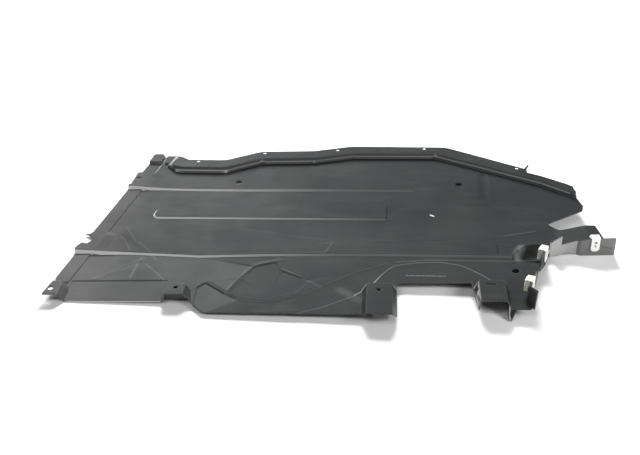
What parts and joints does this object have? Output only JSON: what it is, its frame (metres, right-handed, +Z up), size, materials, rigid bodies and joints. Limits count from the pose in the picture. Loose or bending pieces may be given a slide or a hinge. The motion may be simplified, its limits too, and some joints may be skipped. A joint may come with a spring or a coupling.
{
  "type": "underbody shield",
  "caption": "Moulded underbody shield of a car with a stepped back flange, screw tabs, an arm and a bowl at one end, and three push-on clip nuts.",
  "frame": {"origin": "centre of the bounding box in plan, on the floor that the shield rests on", "axes": "+X along the shield towards the arm, +Y towards the stepped back flange, +Z up, away from the floor"},
  "size_m": [1.0882, 0.6164, 0.0591],
  "materials": {
    "shield_plastic": "matte",
    "clip_plastic": "satin"
  },
  "bodies": {
    "root": {"shield_panel": "shield_plastic", "arm_clip_nut": "clip_plastic", "bowl_clip_nut": "clip_plastic", "side_clip_nut": "clip_plastic"}
  },
  "joints": []
}
